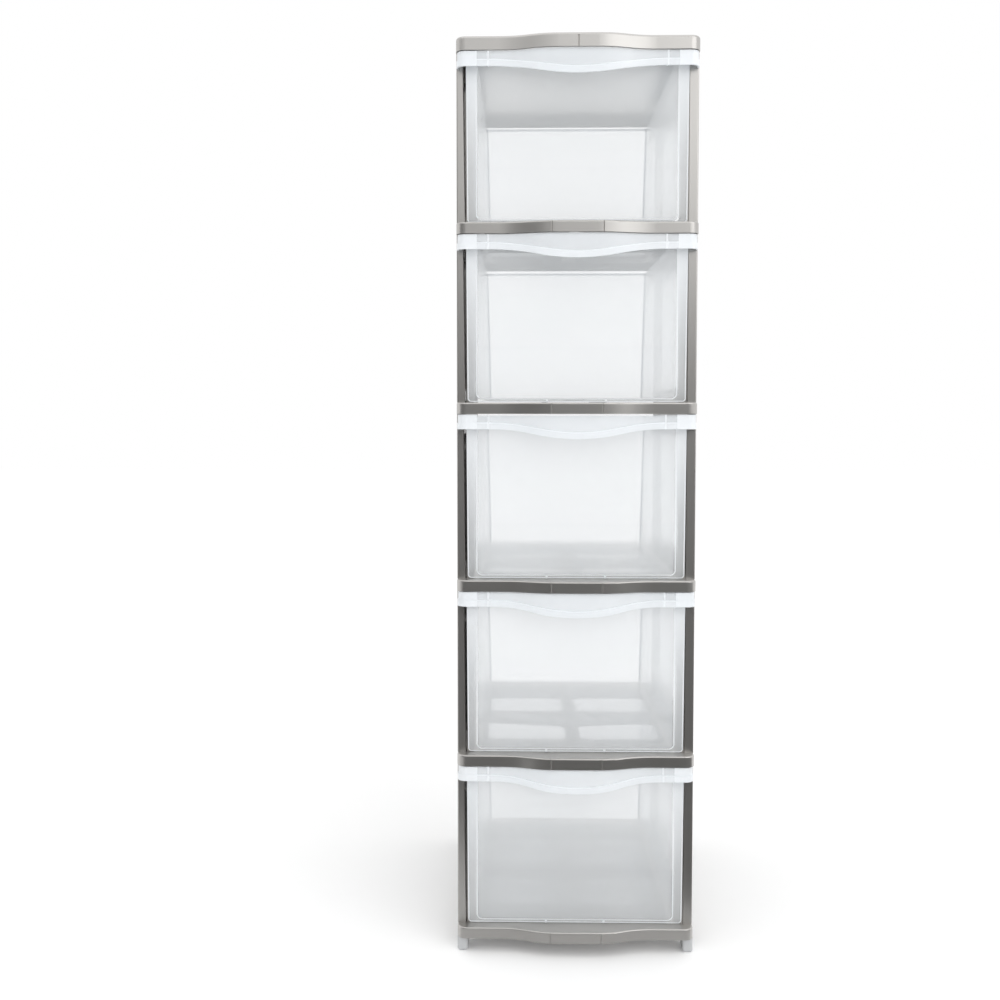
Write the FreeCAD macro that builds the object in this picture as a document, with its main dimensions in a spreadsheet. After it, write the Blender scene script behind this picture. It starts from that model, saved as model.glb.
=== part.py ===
import FreeCAD, Part
import math
import os
import re
import Sketcher

# Drawer tower: a stack of five clear drawers in a silver plastic frame.
# Millimetres, +Z up, the drawers pull out towards -Y.
# The origin is on the floor, under the middle of the tower's outer box.

TIERS = 5
NEAR = 0.001
UP = FreeCAD.Vector(0, 0, 1)

SIZES = [
    # The whole frame, seen from above
    ("frame_width", 264, "side to side"),
    ("frame_depth", 349, "rear edge to the straight part of the front lip"),
    ("lip_bow", 11, "how far the crown of the lip stands out in front"),
    ("crown_half", 22, "half the width of the flat crown"),
    ("bow_half", 84, "half the width over which the lip is bowed"),
    ("front_corner", 10.5, "front corners of every shelf"),
    ("rear_corner", 7, "rear corners of every shelf"),
    ("ledge", 14, "from the straight lip back to the drawer front"),
    # Heights
    ("tier_pitch", 195.6, "one drawer and its shelf"),
    ("shelf_height", 12.4, "lip of a shelf"),
    ("cover_height", 15, "lip of the top cover"),
    ("foot_height", 16, "floor to the base shelf"),
    # Shelves and cover
    ("plate", 2.5, "flat wall of a shelf"),
    ("skirt", 2.2, "standing wall of a shelf"),
    ("lip_round", 1.8, "upper edge of a shelf"),
    ("cover_round", 3, "upper edge of the cover"),
    ("spine", 17, "bar between the left and right openings"),
    ("cross_bar", 26, "bar between the front and rear openings"),
    ("cross_flare", 15, "how much wider that bar is at the spine"),
    ("cross_set", 8, "middle of the cross bar behind the origin"),
    ("opening_width", 92, "one opening in a shelf"),
    ("opening_depth", 98, "one opening in a shelf"),
    ("opening_radius", 8, "corners of an opening"),
    ("opening_rim", 1.8, "rib round an opening"),
    ("rim_height", 6, "how far that rib hangs below the plate"),
    ("seam_place", 28, "mould lines on a shelf lip, from the middle"),
    ("seam_width", 2, "mould line, at the crown"),
    ("seam_depth", 0.8, "mould line, behind the crown"),
    ("gate_radius", 3, "round gate mark under the cover"),
    ("gate_depth", 0.6, "round gate mark under the cover"),
    ("track_width", 3.6, "shallow track under a drawer's skid"),
    ("track_depth", 0.8, "shallow track under a drawer's skid"),
    ("track_end", 4, "from the track's ends to the edges of the shelf"),
    # Side frames
    ("frame_thick", 10, "side frame, and the post seen from the front"),
    ("front_post", 16, "front post, front to back"),
    ("rear_post", 16, "rear post, front to back"),
    ("top_rail", 27, "upper rail of a side frame"),
    ("low_rail", 18, "lower rail of a side frame"),
    ("window_radius", 14, "corners of the side window"),
    ("web", 2.2, "walls round the hollow of a side frame"),
    ("skin", 2.4, "outer wall of a side frame"),
    ("recess", 0.8, "shallow panel sunk in the outer face"),
    ("recess_border", 4, "flat edge round that panel"),
    ("recess_rim", 3, "flat edge round the window"),
    ("leg_width", 9, "inner leg and runner, side to side"),
    ("leg_depth", 12.5, "inner leg, front to back"),
    ("leg_gap", 0.3, "drawer front to inner leg"),
    ("runner_height", 12, "rail that carries the drawer's rim"),
    ("runner_end", 4, "from the runner's end to the rear edge"),
    ("arris_top", 3.4, "splayed inner edge of the left front post, at its top"),
    ("arris_foot", 0.9, "splayed inner edge of the left front post, at its foot"),
    ("arris_depth", 7, "splayed inner edge, front to back"),
    ("post_round", 1.5, "outer edges of a side frame"),
    # Pegs that hold the stack together
    ("plug_width", 7, "block on a post's top"),
    ("plug_depth", 10, "block on a post's top"),
    ("plug_gap", 0.3, "block to the shelf's skirt"),
    ("plug_set", 2, "from the drawer front back to the front block"),
    ("rear_peg_set", 11.5, "from the rear edge to the rear peg's middle"),
    ("peg_width", 4, "peg under a post"),
    ("peg_depth", 6, "peg under a post"),
    ("peg_gap", 0.3, "peg to its hole, all round"),
    ("peg_reach", 5, "peg below the plate it passes"),
    ("socket_depth", 6, "hole in a block for the peg above"),
    # Feet
    ("foot_width", 11.6, "side to side"),
    ("foot_front", 16.5, "in front of the peg's middle"),
    ("foot_back", 5.5, "behind the peg's middle"),
    ("foot_round", 3, "edges of a foot"),
    # Drawers
    ("panel", 2, "drawer front"),
    ("panel_side_gap", 0.5, "drawer front to a post, at the top"),
    ("panel_foot_gap", 1.8, "drawer front to a post, at the foot"),
    ("panel_low_gap", 0.7, "drawer front to the shelf below"),
    ("panel_high_gap", 0.8, "drawer front to the shelf above"),
    ("panel_corner", 4, "lower corners of the drawer front"),
    ("wall", 1.6, "sides and back of a drawer"),
    ("floor", 1.8, "floor of a drawer"),
    ("floor_rise", 3, "drawer's underside above the shelf"),
    ("box_gap", 2, "drawer side to the inner leg"),
    ("rear_gap", 12, "drawer's back to the rear edge of the frame"),
    ("front_draft", 1.6, "how far a side leans in at the bottom, in front"),
    ("rear_draft", 4.5, "how far a side leans in at the bottom, at the back"),
    ("rear_taper", 1, "how far a side closes in towards the back"),
    ("box_round", 5, "lower outer edges of a drawer"),
    ("rim_gap", 3, "drawer's rim to the side frame"),
    ("rim_thick", 2.5, "drawer's rim"),
    ("rim_rear", 3, "drawer's rim behind its back"),
    ("rim_drop", 4.7, "drawer's rim below the shelf above"),
    ("runner_gap", 0.3, "runner to the drawer's rim"),
    ("skid_place", 32.5, "skids under a drawer, from the middle"),
    ("skid_width", 2, "skid"),
    ("skid_gap", 0.3, "skid to the shelf"),
    # Handle lip across the top of a drawer
    ("handle_inset", 0.5, "handle behind the shelf's outline"),
    ("handle_side", 16, "height of the handle at its sides"),
    ("handle_middle", 26.5, "height of the handle in the middle"),
    ("dip_half", 95, "half the width over which the handle is deeper"),
    ("handle_wall", 2, "hanging wall of the handle"),
    ("handle_plate", 2, "top of the handle"),
    ("bead_height", 7, "thicker band along the handle's lower edge"),
    ("bead_proud", 0.7, "how far that band stands out"),
    ("gusset_place", 97, "ribs behind the handle, from the middle"),
    ("gusset_thick", 1.6, "rib behind the handle"),
    ("gusset_height", 11, "rib behind the handle"),
    ("post_gap", 0.4, "handle to the front of a post"),
    # One overrun for all cuts
    ("overrun", 1, "how far a cutting shape passes the face it opens"),
]

# Places worked out from the sizes
PLACES = {
    "half_width": "frame_width / 2",
    "rear_y": "(frame_depth + lip_bow) / 2",
    "crown_y": "0 - rear_y",
    "front_y": "crown_y + lip_bow",
    "face_y": "front_y + ledge",
    "bow_middle": "(bow_half + crown_half) / 2",
    "bow_arc": "((bow_half - crown_half)^2 + lip_bow^2) / (4 * lip_bow)",
    "span": "tier_pitch - shelf_height",
    "frame_inner": "half_width - frame_thick",
    "leg_inner": "frame_inner - leg_width",
    "peg_x": "half_width - skirt - plug_gap - plug_width / 2",
    "front_peg_y": "face_y + plug_set + plug_depth / 2",
    "rear_peg_y": "rear_y - rear_peg_set",
    "plug_height": "shelf_height - plate",
    "window_front": "face_y + front_post",
    "window_rear": "rear_y - rear_post",
    "window_top": "span - top_rail",
    "box_half": "leg_inner - box_gap",
    "box_front": "face_y + panel",
    "box_rear": "rear_y - rear_gap",
    "box_top": "span - rim_drop",
    "box_inner_floor": "floor_rise + floor",
    "rim_low": "box_top - rim_thick",
    "runner_top": "rim_low - runner_gap",
    "runner_low": "runner_top - runner_height",
    "leg_front": "box_front + leg_gap",
    "handle_top": "span - panel_high_gap",
    "handle_half": "half_width - handle_inset",
    "dip": "handle_middle - handle_side",
    "dip_arc": "(dip_half^2 + dip^2) / (4 * dip)",
}

doc = FreeCAD.newDocument("DrawerTower")
sheet = doc.addObject("Spreadsheet::Sheet", "Sizes")
for row, (alias, value, meaning) in enumerate(SIZES, start=1):
    sheet.set(f"A{row}", meaning)
    sheet.set(f"B{row}", str(value))
    sheet.setAlias(f"B{row}", alias)
doc.recompute()
NAMES = {alias for alias, value, meaning in SIZES}


def formula(text):
    """Write a sum of sizes and places as an expression on the sheet."""
    def swap(match):
        word = match.group()
        if word in PLACES:
            return f"({formula(PLACES[word])})"
        return f"Sizes.{word}" if word in NAMES else word
    return re.sub(r"[a-z_]+", swap, str(text))


def number(text):
    """The value of such a sum, in millimetres."""
    return float(sheet.evalExpression(formula(text)))


def bind(thing, slot, text):
    thing.setExpression(slot, formula(text))


# Sketches

def sketch_on(body, role, offset="0"):
    """An empty sketch on one of the body's own planes, moved along its normal."""
    sketch = body.newObject("Sketcher::SketchObject", f"{body.Name}_sketch")
    plane = next(item for item in body.Origin.OriginFeatures if item.Role == role)
    sketch.AttachmentSupport = [(plane, "")]
    sketch.MapMode = "FlatFace"
    bind(sketch, "AttachmentOffset.Base.z", offset)
    return sketch


def stretch(start, end, radius, turn):
    """A line, or an arc that turns left (1) or right (-1), from start to end."""
    if turn == 0:
        return Part.LineSegment(start, end)
    chord = end - start
    reach = math.sqrt(max(radius ** 2 - (chord.Length / 2) ** 2, 0))
    left = UP.cross(chord).normalize()
    centre = (start + end) / 2 + left * reach * turn
    first, last = (start, end) if turn > 0 else (end, start)
    angles = [math.atan2(point.y - centre.y, point.x - centre.x) for point in (first, last)]
    if angles[1] < angles[0]:
        angles[1] += 2 * math.pi
    return Part.ArcOfCircle(Part.Circle(centre, UP, radius), angles[0], angles[1])


def fix_point(sketch, geometry, end, x, y):
    """Tie one end of a stretch to its place."""
    for kind, axis, text in (("DistanceX", -2, x), ("DistanceY", -1, y)):
        if text == "0":
            sketch.addConstraint(Sketcher.Constraint("PointOnObject", geometry, end, axis))
        else:
            value = number(text)
            index = sketch.addConstraint(Sketcher.Constraint(kind, geometry, end, value))
            bind(sketch, f"Constraints[{index}]", text)


def draw_loop(sketch, points):
    """Draw a closed loop. A point is (x, y), or (x, y, radius, turn) before an arc."""
    corners = [FreeCAD.Vector(number(point[0]), number(point[1]), 0) for point in points]
    ends = []
    for index, point in enumerate(points):
        turn = point[3] if len(point) > 2 else 0
        radius = number(point[2]) if turn else 0
        following = corners[(index + 1) % len(corners)]
        geometry = sketch.addGeometry(stretch(corners[index], following, radius, turn))
        ends.append((geometry, 2, 1) if turn < 0 else (geometry, 1, 2))
        if turn:
            constraint = sketch.addConstraint(Sketcher.Constraint("Radius", geometry, radius))
            bind(sketch, f"Constraints[{constraint}]", point[2])
    for index, (geometry, start, end) in enumerate(ends):
        fix_point(sketch, geometry, start, points[index][0], points[index][1])
        other, other_start, other_end = ends[index - 1]
        joint = Sketcher.Constraint("Coincident", other, other_end, geometry, start)
        sketch.addConstraint(joint)


def draw_circle(sketch, radius):
    """Draw a circle round the sketch's own origin."""
    circle = sketch.addGeometry(Part.Circle(FreeCAD.Vector(), UP, number(radius)))
    sketch.addConstraint(Sketcher.Constraint("Coincident", circle, 3, -1, 1))
    index = sketch.addConstraint(Sketcher.Constraint("Radius", circle, number(radius)))
    bind(sketch, f"Constraints[{index}]", radius)


def rectangle(x_low, y_low, x_high, y_high):
    return [(x_low, y_low), (x_high, y_low), (x_high, y_high), (x_low, y_high)]


def centred(x, y, width, depth):
    return rectangle(f"{x} - ({width}) / 2", f"{y} - ({depth}) / 2",
                     f"{x} + ({width}) / 2", f"{y} + ({depth}) / 2")


def rounded(x_low, y_low, x_high, y_high, radius):
    """A rectangle with round corners, drawn to the left."""
    return [
        (f"{x_low} + {radius}", y_low), (f"{x_high} - {radius}", y_low, radius, 1),
        (x_high, f"{y_low} + {radius}"), (x_high, f"{y_high} - {radius}", radius, 1),
        (f"{x_high} - {radius}", y_high), (f"{x_low} + {radius}", y_high, radius, 1),
        (x_low, f"{y_high} - {radius}"), (x_low, f"{y_low} + {radius}", radius, 1),
    ]


def mirrored(points):
    """The same loop on the other side of the middle plane."""
    return [(f"0 - ({point[0]})", point[1]) for point in points]


def reversed_path(points):
    """An open path of points, walked the other way."""
    path = []
    for index in range(len(points) - 1, -1, -1):
        x, y = points[index][0], points[index][1]
        before = points[index - 1] if index else points[0]
        arc = (before[2], -before[3]) if index and len(before) > 2 else ()
        path.append((x, y) + arc)
    return path


# Features

def feature(body, kind, sketch, length, backwards=False):
    """Pad, or pocket, a sketch by a length."""
    thing = body.newObject(f"PartDesign::{kind}", f"{body.Name}_{kind.lower()}")
    thing.Profile = sketch
    thing.Reversed = backwards
    bind(thing, "Length", length)
    body.Tip = thing
    return thing


def pad(body, sketch, length, backwards=False):
    return feature(body, "Pad", sketch, length, backwards)


def pocket(body, sketch, length, backwards=False):
    """Cut a sketch out of the body and make sure that something went."""
    doc.recompute()
    before = body.Shape.Volume
    thing = feature(body, "Pocket", sketch, length, backwards)
    doc.recompute()
    if body.Shape.Volume > before - NEAR:
        raise RuntimeError(f"{thing.Name} cuts nothing")
    return thing


def loft(body, kind, sections):
    thing = body.newObject(f"PartDesign::{kind}", f"{body.Name}_{kind.lower()}")
    thing.Profile = sections[0]
    thing.Sections = sections[1:]
    thing.Ruled = True
    body.Tip = thing
    return thing


def round_edges(body, radius, keep):
    """Fillet the edges of the body that the test keeps."""
    doc.recompute()
    base = body.Tip
    edges = [f"Edge{index}" for index, edge in enumerate(base.Shape.Edges, start=1) if keep(edge)]
    if not edges:
        raise RuntimeError(f"no edges to round on {body.Label}")
    fillet = body.newObject("PartDesign::Fillet", f"{body.Name}_fillet")
    fillet.Base = (base, edges)
    bind(fillet, "Radius", radius)
    body.Tip = fillet
    return fillet


def stands_at(edge, axis, place):
    """True for an edge that lies in the plane where axis is place."""
    box = edge.BoundBox
    low, high = (getattr(box, axis + end) for end in ("Min", "Max"))
    return abs(low - place) < NEAR and abs(high - place) < NEAR


def runs_along(edge, axis):
    """True for a straight edge along one axis."""
    return all(getattr(edge.BoundBox, other + "Length") < NEAR for other in "XYZ" if other != axis)


def new_body(name):
    body = doc.addObject("PartDesign::Body", name)
    body.Label = name
    return body


def lift(thing, height):
    bind(thing, "Placement.Base.z", height)


def copy_of(master, name, height):
    """One more of the same moulding, at its own height."""
    doc.recompute()
    body = new_body(name)
    base = body.newObject("PartDesign::FeatureBase", f"{name}_base")
    base.BaseFeature = master.Tip
    base.Placement = master.Tip.Placement
    body.Tip = base
    lift(body, height)
    return body


def left_of(right, name):
    """The left-hand twin of a right-hand moulding."""
    twin = doc.addObject("Part::Mirroring", name)
    twin.Label = name
    twin.Source = right
    twin.Normal = FreeCAD.Vector(1, 0, 0)
    return twin


def shelf_bottom(tier):
    """Height of the underside of the shelf below a tier, counted from the top."""
    return f"foot_height + {TIERS - tier} * tier_pitch"


def shelf_top(tier):
    return f"{shelf_bottom(tier)} + shelf_height"


# Plan outline shared by the shelves, the cover and the drawer handles

def front_path(inset):
    """The bowed front from the left side, round both corners, to the right side."""
    side, front, crown = f"half_width - {inset}", f"front_y + {inset}", f"crown_y + {inset}"
    radius = f"(front_corner - {inset})"
    middle = f"(front_y + crown_y) / 2 + {inset}"
    return [
        (f"0 - ({side})", f"{front} + {radius}", radius, 1),
        (f"0 - ({side}) + {radius}", front), ("0 - bow_half", front, "bow_arc", -1),
        ("0 - bow_middle", middle, "bow_arc", 1), ("0 - crown_half", crown),
        ("crown_half", crown, "bow_arc", 1), ("bow_middle", middle, "bow_arc", -1),
        ("bow_half", front), (f"{side} - {radius}", front, radius, 1),
        (side, f"{front} + {radius}"),
    ]


def plan_loop(inset):
    """The whole plan of a shelf, moved in from its edge."""
    side, rear = f"half_width - {inset}", f"rear_y - {inset}"
    radius = f"(rear_corner - {inset})"
    return front_path(inset) + [
        (side, f"{rear} - {radius}", radius, 1), (f"{side} - {radius}", rear),
        (f"0 - ({side}) + {radius}", rear, radius, 1), (f"0 - ({side})", f"{rear} - {radius}"),
    ]


def opening_loops(grow):
    """The four openings of a shelf, each grown by a rib."""
    inner, outer = f"spine / 2 - {grow}", f"spine / 2 + opening_width + {grow}"
    rear_low = f"cross_set + cross_bar / 2 - {grow}"
    rear_high = f"cross_set + cross_bar / 2 + opening_depth + {grow}"
    front_high = f"cross_set - cross_bar / 2 + {grow}"
    front_low = f"cross_set - cross_bar / 2 - opening_depth - {grow}"
    rear = rectangle(inner, rear_low, outer, rear_high)
    front = [(inner, front_low), (outer, front_low), (outer, front_high),
             (inner, f"{front_high} - cross_flare")]
    return [rear, front, mirrored(rear), mirrored(front)]


def peg_places():
    return [(x, y) for x in ("peg_x", "0 - peg_x") for y in ("front_peg_y", "rear_peg_y")]


# Shelves: the base shelf and four dividers

def make_shelf(name, height):
    body = new_body(name)
    outline = sketch_on(body, "XY_Plane")
    draw_loop(outline, plan_loop("0"))
    pad(body, outline, "shelf_height")
    top = number("shelf_height")
    round_edges(body, "lip_round", lambda edge: stands_at(edge, "Z", top))

    hollow = sketch_on(body, "XY_Plane")
    draw_loop(hollow, plan_loop("skirt"))
    pocket(body, hollow, "shelf_height - plate - rim_height", backwards=True)
    ribs = sketch_on(body, "XY_Plane")
    draw_loop(ribs, plan_loop("skirt"))
    for loop in opening_loops("opening_rim"):
        draw_loop(ribs, loop)
    pocket(body, ribs, "shelf_height - plate", backwards=True)

    openings = sketch_on(body, "XY_Plane")
    for loop in opening_loops("0"):
        draw_loop(openings, loop)
    pocket(body, openings, "shelf_height + overrun", backwards=True)
    limit = number("spine / 2 + opening_width + opening_rim / 2")
    inside = number("cross_set + cross_bar / 2 + opening_depth + opening_rim / 2")
    thickness = number("plate + rim_height")

    def is_corner(edge):
        place = edge.BoundBox.Center
        full_height = abs(edge.Length - thickness) < NEAR
        return runs_along(edge, "Z") and full_height and abs(place.x) < limit and place.y < inside
    round_edges(body, "opening_radius", is_corner)

    cuts = sketch_on(body, "XY_Plane")
    for x, y in peg_places():
        draw_loop(cuts, centred(x, y, "peg_width + 2 * peg_gap", "peg_depth + 2 * peg_gap"))
    for x in ("seam_place", "0 - seam_place"):
        draw_loop(cuts, seam_loop(x))
    pocket(body, cuts, "shelf_height + overrun", backwards=True)

    tracks = sketch_on(body, "XY_Plane", "shelf_height")
    for x in ("skid_place", "0 - skid_place"):
        draw_loop(tracks, rectangle(f"{x} - track_width / 2", "front_y + track_end",
                                    f"{x} + track_width / 2", "rear_y - track_end"))
    pocket(body, tracks, "track_depth")
    lift(body, height)
    return body


def seam_loop(x):
    """A mould line, a fine V, down the crown of a lip."""
    left, right = f"{x} - seam_width / 2", f"{x} + seam_width / 2"
    return [(left, "crown_y - overrun"), (right, "crown_y - overrun"), (right, "crown_y"),
            (x, "crown_y + seam_depth"), (left, "crown_y")]


# Top cover

def make_cover(name, height):
    body = new_body(name)
    outline = sketch_on(body, "XY_Plane")
    draw_loop(outline, plan_loop("0"))
    pad(body, outline, "cover_height")
    top = number("cover_height")
    round_edges(body, "cover_round", lambda edge: stands_at(edge, "Z", top))
    hollow = sketch_on(body, "XY_Plane")
    draw_loop(hollow, plan_loop("skirt"))
    pocket(body, hollow, "cover_height - plate", backwards=True)
    seam = sketch_on(body, "XY_Plane")
    draw_loop(seam, seam_loop("0"))
    pocket(body, seam, "cover_height - cover_round", backwards=True)
    gate = sketch_on(body, "XY_Plane", "cover_height - plate")
    draw_circle(gate, "gate_radius")
    pocket(body, gate, "gate_depth", backwards=True)
    lift(body, height)
    return body


# Side frames: a front post, a rear post and two rails, with the drawer's runner inside

def make_side_frame(name, height, splayed=False):
    """A right-hand side frame, its front post plain or splayed."""
    body = new_body(name)
    window = ("window_front", "low_rail", "window_rear", "window_top")
    ring = sketch_on(body, "YZ_Plane", "frame_inner")
    draw_loop(ring, rectangle("face_y", "0", "rear_y", "span"))
    draw_loop(ring, rounded(*window, "window_radius"))
    pad(body, ring, "frame_thick")
    side, front, rear = number("half_width"), number("face_y"), number("rear_y")

    def is_outer_edge(edge):
        upright = runs_along(edge, "Z") and stands_at(edge, "X", side)
        return upright and (stands_at(edge, "Y", front) or stands_at(edge, "Y", rear))
    round_edges(body, "post_round", is_outer_edge)

    hollow = sketch_on(body, "YZ_Plane", "frame_inner")
    draw_loop(hollow, rectangle("face_y + web", "web", "rear_y - web", "span - web"))
    draw_loop(hollow, rounded("(window_front - web)", "(low_rail - web)", "(window_rear + web)",
                              "(window_top + web)", "(window_radius + web)"))
    pocket(body, hollow, "frame_thick - skin", backwards=True)
    panel = sketch_on(body, "YZ_Plane", "half_width")
    draw_loop(panel, rectangle("face_y + recess_border", "recess_border",
                               "rear_y - recess_border", "span - recess_border"))
    draw_loop(panel, rounded("(window_front - recess_rim)", "(low_rail - recess_rim)",
                             "(window_rear + recess_rim)", "(window_top + recess_rim)",
                             "(window_radius + recess_rim)"))
    pocket(body, panel, "recess")

    runner = sketch_on(body, "YZ_Plane", "leg_inner")
    draw_loop(runner, [("leg_front", "0"), ("leg_front + leg_depth", "0"),
                       ("leg_front + leg_depth", "runner_low"),
                       ("rear_y - runner_end", "runner_low"),
                       ("rear_y - runner_end", "runner_top"), ("leg_front", "runner_top")])
    pad(body, runner, "leg_width")
    if splayed:
        splay_post(body)
    add_pegs(body)
    lift(body, height)
    return body


def splay_post(body):
    """Cut the front post's inner edge on a slant that widens upwards."""
    sections = []
    for width, level in (("arris_foot", "0 - overrun"), ("arris_top", "span + overrun")):
        section = sketch_on(body, "XY_Plane", level)
        draw_loop(section, [("frame_inner - overrun", "face_y - overrun"),
                            (f"frame_inner + {width}", "face_y - overrun"),
                            (f"frame_inner + {width}", "face_y"),
                            ("frame_inner", "face_y + arris_depth"),
                            ("frame_inner - overrun", "face_y + arris_depth")])
        sections.append(section)
    loft(body, "SubtractiveLoft", sections)
    doc.recompute()


def add_pegs(body):
    """Blocks on top of the posts, with sockets, and pegs under their feet."""
    blocks = sketch_on(body, "XY_Plane", "span")
    pegs = sketch_on(body, "XY_Plane")
    sockets = sketch_on(body, "XY_Plane", "span + plug_height")
    for y in ("front_peg_y", "rear_peg_y"):
        draw_loop(blocks, centred("peg_x", y, "plug_width", "plug_depth"))
        draw_loop(pegs, centred("peg_x", y, "peg_width", "peg_depth"))
        draw_loop(sockets, centred("peg_x", y, "peg_width + 2 * peg_gap", "peg_depth + 2 * peg_gap"))
    pad(body, blocks, "plug_height")
    pad(body, pegs, "plate + peg_reach", backwards=True)
    pocket(body, sockets, "socket_depth")


# Feet

def make_foot(name, x, y):
    body = new_body(name)
    block = sketch_on(body, "XY_Plane")
    draw_loop(block, rectangle("0 - foot_width / 2", "0 - foot_front", "foot_width / 2", "foot_back"))
    pad(body, block, "foot_height")
    top = number("foot_height")
    round_edges(body, "foot_round", lambda edge: not stands_at(edge, "Z", top))
    stem = sketch_on(body, "XY_Plane", "foot_height")
    draw_loop(stem, centred("0", "0", "plug_width", "plug_depth"))
    pad(body, stem, "plug_height")
    socket = sketch_on(body, "XY_Plane", "foot_height + plug_height")
    draw_loop(socket, centred("0", "0", "peg_width + 2 * peg_gap", "peg_depth + 2 * peg_gap"))
    pocket(body, socket, "socket_depth")
    bind(body, "Placement.Base.x", x)
    bind(body, "Placement.Base.y", y)
    return body


# Drawers

def make_drawer(name, height):
    body = new_body(name)
    add_panel(body)
    add_box(body)
    add_handle(body)
    lift(body, height)
    return body


def add_panel(body):
    """The flat front, a little narrower at the foot."""
    top, foot = "frame_inner - panel_side_gap", "frame_inner - panel_foot_gap"
    front = sketch_on(body, "XZ_Plane", "0 - face_y")
    draw_loop(front, [
        (f"0 - ({foot}) + panel_corner", "panel_low_gap"),
        (f"{foot} - panel_corner", "panel_low_gap", "panel_corner", 1),
        (foot, "panel_low_gap + panel_corner"), (top, "handle_top"),
        (f"0 - ({top})", "handle_top"),
        (f"0 - ({foot})", "panel_low_gap + panel_corner", "panel_corner", 1),
    ])
    pad(body, front, "panel", backwards=True)


def box_section(body, y, top_half, foot_half, low, high):
    section = sketch_on(body, "XZ_Plane", f"0 - ({y})")
    draw_loop(section, [(f"0 - ({foot_half})", low), (foot_half, low),
                        (top_half, high), (f"0 - ({top_half})", high)])
    return section


def add_box(body):
    """Sides, back and floor, the rim that hangs on the runners, and two skids."""
    rear_half = "box_half - rear_taper"
    outer = [box_section(body, "box_front", "box_half", "box_half - front_draft",
                         "floor_rise", "box_top"),
             box_section(body, "box_rear", rear_half, f"{rear_half} - rear_draft",
                         "floor_rise", "box_top")]
    loft(body, "AdditiveLoft", outer)
    low, rear = number("floor_rise"), number("box_rear")
    round_edges(body, "box_round", lambda edge: stands_at(edge, "Z", low)
                and abs(edge.BoundBox.YMax - rear) < NEAR)

    rim = sketch_on(body, "XY_Plane", "rim_low")
    draw_loop(rim, rectangle("0 - (frame_inner - rim_gap)", "box_front",
                             "frame_inner - rim_gap", "box_rear + rim_rear"))
    pad(body, rim, "rim_thick")
    inner = [box_section(body, "box_front", "box_half - wall", "box_half - front_draft - wall",
                         "box_inner_floor", "box_top + overrun"),
             box_section(body, "box_rear - wall", f"{rear_half} - wall",
                         f"{rear_half} - rear_draft - wall", "box_inner_floor",
                         "box_top + overrun")]
    loft(body, "SubtractiveLoft", inner)
    floor, back = number("box_inner_floor"), number("box_rear - wall")
    round_edges(body, "box_round - wall", lambda edge: stands_at(edge, "Z", floor)
                and abs(edge.BoundBox.YMax - back) < NEAR)

    skids = sketch_on(body, "XY_Plane", "skid_gap")
    for x in ("skid_place", "0 - skid_place"):
        draw_loop(skids, rectangle(f"{x} - skid_width / 2", "face_y",
                                   f"{x} + skid_width / 2", "box_rear - box_round"))
    pad(body, skids, "floor_rise + floor / 2 - skid_gap")


def dip_loop(raise_by):
    """Everything below the handle's lower edge, seen from the front."""
    side = f"handle_top - handle_side + {raise_by}"
    middle = f"handle_top - handle_middle + {raise_by}"
    between = f"handle_top - (handle_side + handle_middle) / 2 + {raise_by}"
    low = "handle_top - handle_middle - overrun"
    return [
        ("0 - half_width - overrun", low), ("half_width + overrun", low),
        ("half_width + overrun", side), ("dip_half", side, "dip_arc", 1),
        ("dip_half / 2", between, "dip_arc", -1), ("0", middle, "dip_arc", -1),
        ("0 - dip_half / 2", between, "dip_arc", 1), ("0 - dip_half", side),
        ("0 - half_width - overrun", side),
    ]


def add_handle(body):
    """The full-width handle lip: a bowed wall that hangs from a flat top."""
    block = sketch_on(body, "XY_Plane", "handle_top - handle_middle")
    rear = "face_y - post_gap"
    draw_loop(block, front_path("handle_inset") + [
        ("handle_half", rear), ("box_half", rear), ("box_half", "box_front"),
        ("0 - box_half", "box_front"), ("0 - box_half", rear), ("0 - handle_half", rear)])
    pad(body, block, "handle_middle")
    space = sketch_on(body, "XY_Plane", "handle_top - handle_middle")
    inset = "(handle_inset + handle_wall)"
    draw_loop(space, front_path(inset) + [
        (f"half_width - {inset}", "face_y"), (f"0 - (half_width - {inset})", "face_y")])
    pocket(body, space, "handle_middle - handle_plate", backwards=True)
    below = sketch_on(body, "XZ_Plane", "0 - face_y")
    draw_loop(below, dip_loop("0"))
    pocket(body, below, "ledge + lip_bow + overrun", backwards=True)
    add_gussets(body)
    doc.recompute()
    band = body.newObject("PartDesign::Boolean", f"{body.Name}_band")
    band.Type = "Cut"
    band.Group = [make_band_tool(f"{body.Name}_band_tool")]
    body.Tip = band


def add_gussets(body):
    for side in ("gusset_place", "0 - gusset_place"):
        rib = sketch_on(body, "YZ_Plane", f"{side} - gusset_thick / 2")
        top = "handle_top - handle_plate / 2"
        draw_loop(rib, rectangle("front_y + handle_inset + handle_wall / 2",
                                 "handle_top - handle_plate - gusset_height", "box_front", top))
        pad(body, rib, "gusset_thick")


def make_band_tool(name):
    """What is cut from the handle's wall above the thicker lower band."""
    tool = new_body(name)
    inset = "(handle_inset + bead_proud)"
    far_side, far_front = "half_width + overrun", "crown_y - overrun"
    ring = sketch_on(tool, "XY_Plane", "handle_top - handle_middle - overrun")
    draw_loop(ring, [
        (f"0 - ({far_side})", "face_y - post_gap"), (f"0 - ({far_side})", far_front),
        (far_side, far_front), (far_side, "face_y - post_gap"),
        (f"half_width - {inset}", "face_y - post_gap")]
        + reversed_path(front_path(inset)) + [(f"0 - (half_width - {inset})", "face_y - post_gap")])
    pad(tool, ring, "handle_middle + 2 * overrun")
    below = sketch_on(tool, "XZ_Plane", "0 - face_y")
    draw_loop(below, dip_loop("bead_height"))
    pocket(tool, below, "ledge + lip_bow + 2 * overrun", backwards=True)
    return tool


# The whole tower

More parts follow.
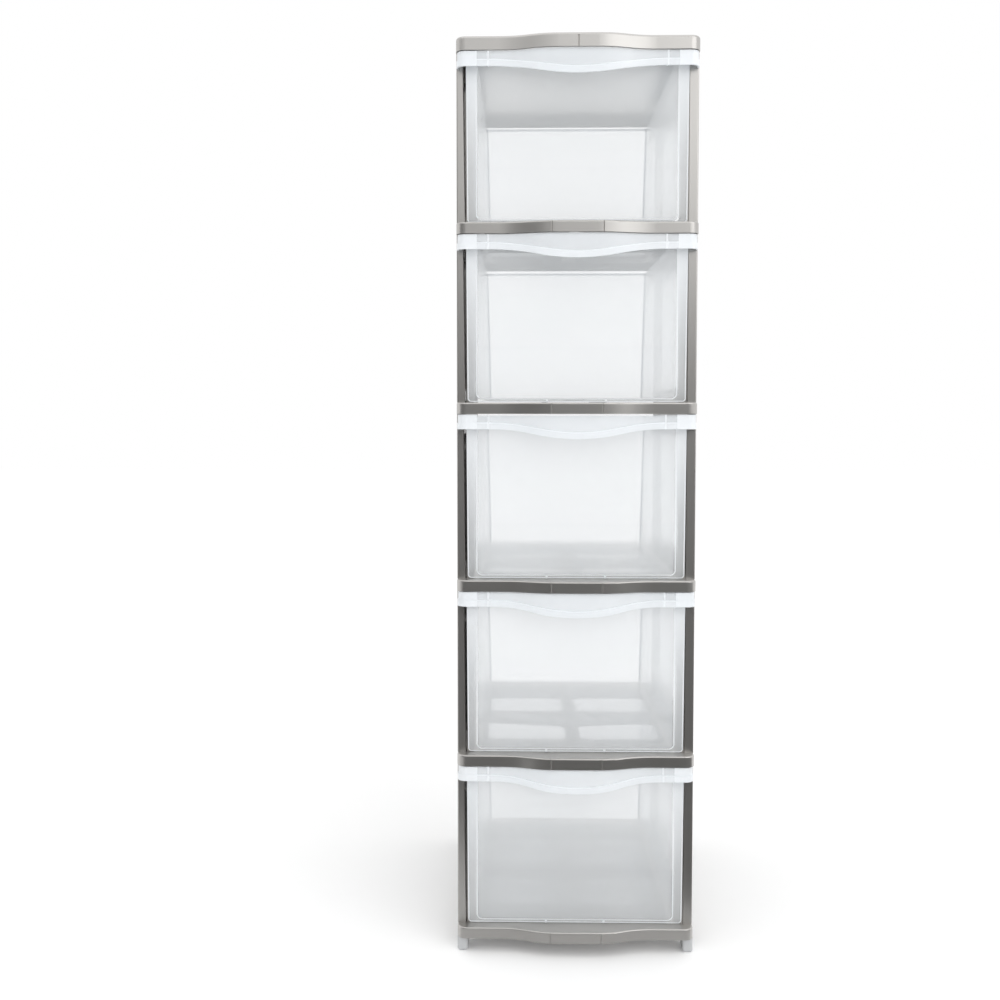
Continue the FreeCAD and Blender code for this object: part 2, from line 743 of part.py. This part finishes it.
def build():
    """Make every piece and return them in the order they stack."""
    pieces = [make_cover("top_cover", shelf_bottom(0))]
    shelf = make_shelf("shelf_1", shelf_bottom(1))
    pieces.append(shelf)
    for tier in range(2, TIERS):
        pieces.append(copy_of(shelf, f"shelf_{tier}", shelf_bottom(tier)))
    pieces.append(copy_of(shelf, "base_shelf", shelf_bottom(TIERS)))
    for end, y in (("front", "front_peg_y"), ("rear", "rear_peg_y")):
        for side, x in (("left", "0 - peg_x"), ("right", "peg_x")):
            pieces.append(make_foot(f"foot_{end}_{side}", x, y))
    first = [make_side_frame("side_frame_right_1", shelf_top(1)),
             make_side_frame("splayed_frame_1", shelf_top(1), splayed=True),
             make_drawer("drawer_1", shelf_top(1))]
    for tier in range(1, TIERS + 1):
        right, splayed, drawer = first
        if tier > 1:
            right = copy_of(right, f"side_frame_right_{tier}", shelf_top(tier))
            splayed = copy_of(splayed, f"splayed_frame_{tier}", shelf_top(tier))
            drawer = copy_of(drawer, f"drawer_{tier}", shelf_top(tier))
        pieces += [right, left_of(splayed, f"side_frame_left_{tier}"), drawer]
    return pieces


def check_and_write(pieces):
    """Stop at a failed feature or a bad solid, then write one file a piece."""
    doc.recompute()
    for item in doc.Objects:
        if {"Invalid", "Error"} & set(item.State):
            raise RuntimeError(f"{item.Name} failed")
    for piece in pieces:
        shape = piece.Shape
        if shape.isNull() or not shape.isValid() or len(shape.Solids) != 1:
            raise RuntimeError(f"{piece.Label} isn't one valid solid")
    os.makedirs("parts", exist_ok=True)
    for piece in pieces:
        piece.Shape.exportStep(f"parts/{piece.Label}.step")
        box = piece.Shape.BoundBox
        print(piece.Label, [round(value, 2) for value in (
            box.XMin, box.XMax, box.YMin, box.YMax, box.ZMin, box.ZMax)],
            round(piece.Shape.Volume / 1000, 1), "cm3")


check_and_write(build())
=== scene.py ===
"""The looks of the plastic drawer tower: five milky drawers in a silver frame, on a white studio floor."""

import math

import bpy
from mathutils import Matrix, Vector

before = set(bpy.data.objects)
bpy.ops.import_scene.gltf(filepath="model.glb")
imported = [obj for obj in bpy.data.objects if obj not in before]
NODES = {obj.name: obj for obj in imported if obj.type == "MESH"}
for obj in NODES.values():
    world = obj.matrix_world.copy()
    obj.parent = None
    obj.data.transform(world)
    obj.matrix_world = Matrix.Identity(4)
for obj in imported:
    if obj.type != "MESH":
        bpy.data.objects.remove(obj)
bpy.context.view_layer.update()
MM = 0.001

# Places on a drawer, in millimetres. Heights are measured from the shelf that the drawer stands on.
TIER_PITCH = 195.6
LOWEST_SHELF = 28.4
HANDLE_BACK = -155.2
FRONT_MIDDLE = -154.0
BOX_START = -152.5
REAR_CORNER = 160.0
BOX_HALF = 110.0
BOX_FOOT = 4.2
BOX_CORNER = 6.0
EDGE_HALF = 120.2
EDGE_FOOT = 0.7
EDGE_CORNER = 4.0
EDGE_LEAN = -0.007
FRONT_TOP = 182.0
SKID_PLACE = 32.5
SKID_TOP = 3.2
HAZIER_FROM = 60.0
HAZIER_TO = 170.0
DIP_HALF = 95.0
DIP_SWING = 5.25
BAND_TOP = 168.15
RIB_PLACE = 97.0
RIM_HEIGHT = 177.2
REAR_HALF = 104.0
REAR_LEAN = -0.0252

# How far each painted line on a drawer, light or dark, reaches on either side of its middle, in millimetres.
WALL_REACH = 0.7
EDGE_REACH = 1.3
SKID_REACH = 1.3
RIB_REACH = 1.0
STEP_REACH = 0.5
RIM_REACH = 1.4
CORNER_REACH = 1.5

# How much of what lies behind a wall its haze hides, and how much of its light the haze lets through.
SQUARE_HAZE, EDGE_ON_HAZE = 0.15, 0.95
LOW_FRONT_HAZE, HIGH_FRONT_HAZE = 0.13, 0.38
LOW_MARGIN_HAZE, HIGH_MARGIN_HAZE = 0.1, 0.6
BAND_HAZE = 0.24
RIB_HAZE = 0.4
# The corner and line hazes draw painted shade and painted white lines.
CORNER_SHADE_HAZE = 0.25
PAINTED_LINE_HAZE = 0.6
LET_THROUGH = 0.3

# Sizes of the marks in the materials, in millimetres.
SILVER_CLOUD = 90
SILVER_GRAIN = 0.7
MILKY_CLOUD = 70
FOOT_CLOUD = 9
FOOT_PEBBLE = 0.9
SKIN_DEPTH = 0.1

DRAWERS = [f"drawer_{tier}" for tier in range(1, 6)]
FEET = [name for name in NODES if name.startswith("foot_")]
SILVER_MOULDINGS = [name for name in NODES if name not in DRAWERS and name not in FEET]


# Materials

def colour(code):
    """A linear colour from its sRGB hex code."""
    parts = [int(code[i:i + 2], 16) / 255 for i in (1, 3, 5)]
    return (*(c / 12.92 if c <= 0.04045 else ((c + 0.055) / 1.055) ** 2.4 for c in parts), 1.0)


def add(tree, kind, inputs=None, **settings):
    """Add a node with its settings, and set or link its inputs."""
    node = tree.nodes.new(kind)
    for name, value in settings.items():
        setattr(node, name, value)
    for key, value in (inputs or {}).items():
        if isinstance(value, bpy.types.NodeSocket):
            tree.links.new(value, node.inputs[key])
        else:
            node.inputs[key].default_value = value
    return node


def new_material(name):
    """An empty material, its node tree and its output node."""
    material = bpy.data.materials.new(name)
    material.use_nodes = True
    material.node_tree.nodes.clear()
    return material, material.node_tree, add(material.node_tree, "ShaderNodeOutputMaterial")


def per_metre(size):
    """The scale of a noise whose marks are that many millimetres wide."""
    return 1 / (size * MM)


def silver_polypropylene():
    # Polypropylene with a metal-flake pigment, moulded in satin-finished steel. The flakes give a soft
    # silver sheen, the melt leaves faint flow clouds a hand wide, and the skin has a fine grain.
    material, tree, out = new_material("silver_polypropylene_moulded")
    place = add(tree, "ShaderNodeTexCoord").outputs["Object"]
    clouds = add(tree, "ShaderNodeTexNoise", {
        "Vector": place, "Scale": per_metre(SILVER_CLOUD), "Detail": 3.0})
    tone = add(tree, "ShaderNodeMix", {
        0: clouds.outputs["Fac"], 6: colour("#b9b7b4"), 7: colour("#bfbdba")}, data_type="RGBA")
    # The grain is about 0.1 mm in the real skin and is drawn at 0.7 mm, as fine as the render can show.
    grain = add(tree, "ShaderNodeTexNoise", {
        "Vector": place, "Scale": per_metre(SILVER_GRAIN), "Detail": 2.0})
    bump = add(tree, "ShaderNodeBump", {
        "Height": grain.outputs["Fac"], "Strength": 0.15, "Distance": SKIN_DEPTH * MM})
    skin = add(tree, "ShaderNodeBsdfPrincipled", {
        "Base Color": tone.outputs[2], "Metallic": 0.85, "Roughness": 0.33,
        "Normal": bump.outputs["Normal"]})
    tree.links.new(skin.outputs[0], out.inputs["Surface"])
    return material


def outline(tree, across, height, half, low, corner):
    """How far, in mm, a point of a drawer's front is outside a U with round lower corners."""
    side = add(tree, "ShaderNodeMath", {0: across, 1: half}, operation="SUBTRACT").outputs[0]
    side = add(tree, "ShaderNodeMath", {0: side, 1: corner}, operation="ADD").outputs[0]
    foot = add(tree, "ShaderNodeMath", {0: low + corner, 1: height}, operation="SUBTRACT").outputs[0]
    reach = add(tree, "ShaderNodeCombineXYZ", {
        "X": add(tree, "ShaderNodeMath", {0: side, 1: 0.0}, operation="MAXIMUM").outputs[0],
        "Y": add(tree, "ShaderNodeMath", {0: foot, 1: 0.0}, operation="MAXIMUM").outputs[0]}).outputs[0]
    round_part = add(tree, "ShaderNodeVectorMath", {0: reach}, operation="LENGTH").outputs["Value"]
    inner = add(tree, "ShaderNodeMath", {0: side, 1: foot}, operation="MAXIMUM").outputs[0]
    inner = add(tree, "ShaderNodeMath", {0: inner, 1: 0.0}, operation="MINIMUM").outputs[0]
    both = add(tree, "ShaderNodeMath", {0: round_part, 1: inner}, operation="ADD").outputs[0]
    return add(tree, "ShaderNodeMath", {0: both, 1: corner}, operation="SUBTRACT").outputs[0]


def milky_polypropylene():
    # Uncoloured polypropylene, moulded thin: clear enough to see through, with a white haze that grows
    # where a wall is seen edge-on. Painted white lines stand in for the light that edges, rims, walls and
    # ribs catch.
    material, tree, out = new_material("milky_polypropylene_moulded")
    place = add(tree, "ShaderNodeTexCoord").outputs["Object"]
    place = add(tree, "ShaderNodeVectorMath", {0: place, "Scale": 1 / MM}, operation="SCALE").outputs[0]
    axes = add(tree, "ShaderNodeSeparateXYZ", {0: place})
    across = add(tree, "ShaderNodeMath", {0: axes.outputs["X"]}, operation="ABSOLUTE").outputs[0]
    along = axes.outputs["Y"]
    height = add(tree, "ShaderNodeMath", {
        0: axes.outputs["Z"], 1: LOWEST_SHELF}, operation="SUBTRACT").outputs[0]
    height = add(tree, "ShaderNodeMath", {0: height, 1: TIER_PITCH}, operation="FLOORED_MODULO").outputs[0]
    on_front = add(tree, "ShaderNodeMath", {0: along, 1: FRONT_MIDDLE}, operation="LESS_THAN").outputs[0]
    on_handle = add(tree, "ShaderNodeMath", {0: along, 1: HANDLE_BACK}, operation="LESS_THAN").outputs[0]
    on_box = add(tree, "ShaderNodeMath", {0: along, 1: BOX_START}, operation="GREATER_THAN").outputs[0]
    at_rear = add(tree, "ShaderNodeMath", {0: along, 1: REAR_CORNER}, operation="GREATER_THAN").outputs[0]

    # Flat front: painted white lines round its edge, along the box wall seen end-on behind it and at the two
    # skids' ends, and a hazier margin outside the box.
    wall = outline(tree, across, height, BOX_HALF, BOX_FOOT, BOX_CORNER)
    wall_line = add(tree, "ShaderNodeMath", {
        0: wall, 1: 0.0, 2: WALL_REACH}, operation="COMPARE").outputs[0]
    lean = add(tree, "ShaderNodeMath", {
        0: height, 1: EDGE_LEAN, 2: across}, operation="MULTIPLY_ADD").outputs[0]
    edge = outline(tree, lean, height, EDGE_HALF, EDGE_FOOT, EDGE_CORNER)
    edge_highlight = add(tree, "ShaderNodeMath", {
        0: edge, 1: 0.0, 2: EDGE_REACH}, operation="COMPARE").outputs[0]
    skid = add(tree, "ShaderNodeMath", {
        0: across, 1: SKID_PLACE, 2: SKID_REACH}, operation="COMPARE").outputs[0]
    low = add(tree, "ShaderNodeMath", {0: height, 1: SKID_TOP}, operation="LESS_THAN").outputs[0]
    painted_lines = add(tree, "ShaderNodeMath", {0: skid, 1: low}, operation="MULTIPLY").outputs[0]
    painted_lines = add(tree, "ShaderNodeMath", {0: painted_lines, 1: wall_line}, operation="MAXIMUM").outputs[0]
    painted_lines = add(tree, "ShaderNodeMath", {0: painted_lines, 1: edge_highlight}, operation="MAXIMUM").outputs[0]
    painted_lines = add(tree, "ShaderNodeMath", {0: painted_lines, 1: on_front}, operation="MULTIPLY").outputs[0]
    margin = add(tree, "ShaderNodeMath", {0: wall, 1: 0.0}, operation="GREATER_THAN").outputs[0]
    margin = add(tree, "ShaderNodeMath", {0: margin, 1: on_front}, operation="MULTIPLY").outputs[0]
    # Painted light: the margin's haze grows towards the top, so the margin looks brighter high up and darker
    # low down.
    painted_top_light = add(tree, "ShaderNodeMapRange", {
        "Value": height, "From Min": 0.0, "From Max": FRONT_TOP,
        "To Min": LOW_MARGIN_HAZE, "To Max": HIGH_MARGIN_HAZE}).outputs[0]
    margin = add(tree, "ShaderNodeMath", {0: margin, 1: painted_top_light}, operation="MULTIPLY").outputs[0]

    # Handle: a thicker band along its wavy lower edge, and painted white lines for the ribs behind it and
    # the band's top edge.
    wave = add(tree, "ShaderNodeMapRange", {
        "Value": across, "From Min": 0.0, "From Max": DIP_HALF, "To Min": 0.0, "To Max": math.pi}).outputs[0]
    wave = add(tree, "ShaderNodeMath", {0: wave}, operation="COSINE").outputs[0]
    above = add(tree, "ShaderNodeMath", {
        0: wave, 1: DIP_SWING, 2: height}, operation="MULTIPLY_ADD").outputs[0]
    band = add(tree, "ShaderNodeMath", {0: above, 1: BAND_TOP}, operation="LESS_THAN").outputs[0]
    ribs = add(tree, "ShaderNodeMath", {
        0: across, 1: RIB_PLACE, 2: RIB_REACH}, operation="COMPARE").outputs[0]
    step = add(tree, "ShaderNodeMath", {
        0: above, 1: BAND_TOP, 2: STEP_REACH}, operation="COMPARE").outputs[0]
    ribs = add(tree, "ShaderNodeMath", {0: ribs, 1: step}, operation="MAXIMUM").outputs[0]
    strip = add(tree, "ShaderNodeMath", {0: ribs, 1: RIB_HAZE}, operation="MULTIPLY").outputs[0]
    strip = add(tree, "ShaderNodeMath", {
        0: band, 1: BAND_HAZE, 2: strip}, operation="MULTIPLY_ADD").outputs[0]
    strip = add(tree, "ShaderNodeMath", {0: strip, 1: on_handle}, operation="MULTIPLY").outputs[0]

    # Box: a painted highlight draws its rim as a white line, and painted shade draws its rear corners as
    # darker lines.
    rim_highlight = add(tree, "ShaderNodeMath", {
        0: height, 1: RIM_HEIGHT, 2: RIM_REACH}, operation="COMPARE").outputs[0]
    rim_highlight = add(tree, "ShaderNodeMath", {0: rim_highlight, 1: on_box}, operation="MULTIPLY").outputs[0]
    painted_lines = add(tree, "ShaderNodeMath", {0: painted_lines, 1: rim_highlight}, operation="MAXIMUM").outputs[0]
    # Painted shade: darker lines in the haze at the rear corners, where the corners bend the light.
    draft = add(tree, "ShaderNodeMath", {
        0: height, 1: REAR_LEAN, 2: across}, operation="MULTIPLY_ADD").outputs[0]
    corner = add(tree, "ShaderNodeMath", {
        0: draft, 1: REAR_HALF, 2: CORNER_REACH}, operation="COMPARE").outputs[0]
    corner = add(tree, "ShaderNodeMath", {0: corner, 1: at_rear}, operation="MULTIPLY").outputs[0]

    # The front is drawn hazier towards its handle: less haze low down lets the shelf below show, and the
    # extra haze high up is painted light that lifts the shaded ceiling seen through it.
    edge_on = add(tree, "ShaderNodeLayerWeight", {"Blend": 0.08}).outputs["Facing"]
    veil = add(tree, "ShaderNodeMapRange", {
        "Value": edge_on, "To Min": SQUARE_HAZE, "To Max": EDGE_ON_HAZE}).outputs[0]
    upper = add(tree, "ShaderNodeMapRange", {
        "Value": height, "From Min": HAZIER_FROM, "From Max": HAZIER_TO,
        "To Min": LOW_FRONT_HAZE, "To Max": HIGH_FRONT_HAZE}).outputs[0]
    upper = add(tree, "ShaderNodeMath", {0: upper, 1: on_front}, operation="MULTIPLY").outputs[0]
    veil = add(tree, "ShaderNodeMath", {0: veil, 1: upper}, operation="ADD").outputs[0]
    veil = add(tree, "ShaderNodeMath", {0: veil, 1: margin}, operation="ADD").outputs[0]
    veil = add(tree, "ShaderNodeMath", {0: veil, 1: strip}, operation="ADD").outputs[0]
    veil = add(tree, "ShaderNodeMath", {
        0: corner, 1: CORNER_SHADE_HAZE, 2: veil}, operation="MULTIPLY_ADD").outputs[0]
    # The white lines are painted highlights, drawn into the haze.
    veil = add(tree, "ShaderNodeMath", {
        0: painted_lines, 1: PAINTED_LINE_HAZE, 2: veil}, operation="MULTIPLY_ADD", use_clamp=True).outputs[0]

    # The melt leaves faint flow clouds, and a wall's haze both reflects light and lets it through.
    flow = add(tree, "ShaderNodeTexNoise", {"Vector": place, "Scale": 1 / MILKY_CLOUD, "Detail": 2.0})
    tone = add(tree, "ShaderNodeMix", {
        0: flow.outputs["Fac"], 6: colour("#f2f6f9"), 7: colour("#f9fbfd")}, data_type="RGBA")
    # Painted shade: the rear corner lines take a darker bluish grey.
    tone = add(tree, "ShaderNodeMix", {
        0: corner, 6: tone.outputs[2], 7: colour("#98a2ac")}, data_type="RGBA").outputs[2]
    front_light = add(tree, "ShaderNodeBsdfDiffuse", {"Color": tone})
    back_light = add(tree, "ShaderNodeBsdfTranslucent", {"Color": tone})
    haze = add(tree, "ShaderNodeMixShader", {
        0: LET_THROUGH, 1: front_light.outputs[0], 2: back_light.outputs[0]})
    clear = add(tree, "ShaderNodeBsdfTransparent", {"Color": colour("#ffffff")})
    body = add(tree, "ShaderNodeMixShader", {0: veil, 1: clear.outputs[0], 2: haze.outputs[0]})
    gloss = add(tree, "ShaderNodeBsdfGlossy", {"Color": colour("#ffffff"), "Roughness": 0.3})
    glance = add(tree, "ShaderNodeLayerWeight", {"Blend": 0.1})
    skin = add(tree, "ShaderNodeMixShader", {
        0: glance.outputs["Facing"], 1: body.outputs[0], 2: gloss.outputs[0]})
    tree.links.new(skin.outputs[0], out.inputs["Surface"])
    return material


def grey_polyethylene():
    # Pale grey polyethylene, softer and waxier than the rest: a cloudy tone and a matt, slightly pebbled
    # skin. The pebbles are about 0.2 mm in the real skin and are drawn at 0.9 mm, so that they show.
    material, tree, out = new_material("grey_polyethylene_moulded")
    place = add(tree, "ShaderNodeTexCoord").outputs["Object"]
    clouds = add(tree, "ShaderNodeTexNoise", {
        "Vector": place, "Scale": per_metre(FOOT_CLOUD), "Detail": 3.0})
    tone = add(tree, "ShaderNodeMix", {
        0: clouds.outputs["Fac"], 6: colour("#b4b6b8"), 7: colour("#c3c4c5")}, data_type="RGBA")
    pebbles = add(tree, "ShaderNodeTexNoise", {
        "Vector": place, "Scale": per_metre(FOOT_PEBBLE), "Detail": 1.0})
    bump = add(tree, "ShaderNodeBump", {
        "Height": pebbles.outputs["Fac"], "Strength": 0.2, "Distance": SKIN_DEPTH * MM})
    skin = add(tree, "ShaderNodeBsdfPrincipled", {
        "Base Color": tone.outputs[2], "Roughness": 0.5, "Normal": bump.outputs["Normal"]})
    tree.links.new(skin.outputs[0], out.inputs["Surface"])
    return material


def dress(names, material):
    """Put a material in every slot of the named pieces."""
    for name in names:
        data = NODES[name].data
        if not data.materials:
            data.materials.append(material)
        for slot in range(len(data.materials)):
            data.materials[slot] = material


dress(SILVER_MOULDINGS, silver_polypropylene())
dress(DRAWERS, milky_polypropylene())
dress(FEET, grey_polyethylene())


# Studio, in metres

FLOOR_SIZE = 20
FLOOR_LIFT = 0.06


def seen_directly(tree):
    """1 for what the camera sees itself, in a reflection or through glass."""
    path = add(tree, "ShaderNodeLightPath")
    eye = add(tree, "ShaderNodeMath", {
        0: path.outputs["Is Camera Ray"], 1: path.outputs["Is Glossy Ray"]}, operation="MAXIMUM")
    return add(tree, "ShaderNodeMath", {
        0: eye.outputs[0], 1: path.outputs["Is Transmission Ray"]}, operation="MAXIMUM").outputs[0]


def white_room():
    """An even white all round, which is also the background."""
    world = bpy.data.worlds.new("white_room")
    world.use_nodes = True
    tree = world.node_tree
    tree.nodes.clear()
    back = add(tree, "ShaderNodeBackground", {"Color": colour("#ffffff"), "Strength": 1.0})
    add(tree, "ShaderNodeOutputWorld", {"Surface": back.outputs[0]})
    bpy.context.scene.world = world


def paper_floor():
    """A wide pale floor that keeps the tower's shadow and is lifted to the white of the background."""
    bpy.ops.object.select_all(action="DESELECT")
    bpy.ops.mesh.primitive_plane_add(size=FLOOR_SIZE)
    floor = bpy.context.object
    floor.name = "floor"
    material, tree, out = new_material("white_paper_floor")
    paper = add(tree, "ShaderNodeBsdfDiffuse", {"Color": colour("#fafafa")})
    lift = add(tree, "ShaderNodeMath", {0: seen_directly(tree), 1: FLOOR_LIFT}, operation="MULTIPLY")
    glow = add(tree, "ShaderNodeEmission", {"Color": colour("#ffffff"), "Strength": lift.outputs[0]})
    both = add(tree, "ShaderNodeAddShader", {0: paper.outputs[0], 1: glow.outputs[0]})
    tree.links.new(both.outputs[0], out.inputs["Surface"])
    floor.data.materials.append(material)


def softbox(name, place, aim, width, height, power):
    """A soft square lamp at a place in metres, turned towards its aim."""
    bpy.ops.object.light_add(type="AREA", location=place)
    lamp = bpy.context.object
    lamp.name = name
    lamp.data.shape = "RECTANGLE"
    lamp.data.size = width
    lamp.data.size_y = height
    lamp.data.energy = power
    lamp.rotation_euler = (Vector(aim) - Vector(place)).to_track_quat("-Z", "Y").to_euler()
    lamp.visible_camera = False


def card(name, shade, corners):
    """A dark card in the studio that only reflections see: a painted reflection that darkens what the silver
    mirrors, casting no shadow and lighting nothing.
    """
    bpy.ops.object.select_all(action="DESELECT")
    bpy.ops.mesh.primitive_plane_add(size=1)
    sheet = bpy.context.object
    sheet.name = name
    for vertex, corner in zip(sheet.data.vertices, corners):
        vertex.co = corner
    material, tree, out = new_material(f"{name}_felt")
    painted_reflection = add(tree, "ShaderNodeBsdfDiffuse", {"Color": colour(shade)})
    tree.links.new(painted_reflection.outputs[0], out.inputs["Surface"])
    sheet.data.materials.append(material)
    sheet.visible_camera = False
    sheet.visible_diffuse = False
    sheet.visible_transmission = False
    sheet.visible_shadow = False


white_room()
paper_floor()
softbox("right_softbox", place=(1.5, -2.1, 1.55), aim=(0, 0, 0.6), width=2.4, height=2.0, power=17)
softbox("top_softbox", place=(0.0, -0.6, 2.7), aim=(0, 0, 0), width=2.4, height=2.0, power=6)
# Painted reflections: cards that only the gloss sees darken the silver's reflections in front of and below
# the tower.
card("black_card", "#141414", (
    (-2.5, -2.0, 0.002), (0.3, -0.15, 0.002), (-2.5, -2.6, 1.1), (0.9, -2.6, 1.0)))
card("dark_card", "#303030", (
    (0.3, -0.15, 0.002), (2.5, -0.15, 0.002), (0.9, -2.6, 1.0), (2.5, -2.6, 0.9)))
card("near_card", "#c8c8c8", (
    (-2.5, -0.17, 0.001), (0.3, -0.17, 0.001), (-2.5, -2.0, 0.001), (0.3, -0.3, 0.001)))
card("grey_card", "#3c3c3c", (
    (-2.6, -0.9, 0.2), (-0.5, -2.6, 0.2), (-2.6, -0.9, 1.7), (-0.5, -2.6, 1.35)))


# Camera

CAMERA_PLACE = (-0.0585, -1.4309, 0.6082)
DOWNWARD_TILT = 2.98
LEFTWARD_TURN = 1.16
LENS = 41.54
SENSOR_WIDTH = 36
UPWARD_SHIFT = -0.031

bpy.ops.object.camera_add(location=CAMERA_PLACE, rotation=(
    math.radians(90 - DOWNWARD_TILT), 0, math.radians(LEFTWARD_TURN)))
camera = bpy.context.object
camera.data.lens = LENS
camera.data.sensor_width = SENSOR_WIDTH
camera.data.shift_y = UPWARD_SHIFT

scene = bpy.context.scene
scene.camera = camera
scene.view_settings.view_transform = "Standard"
scene.cycles.transparent_max_bounces = 32
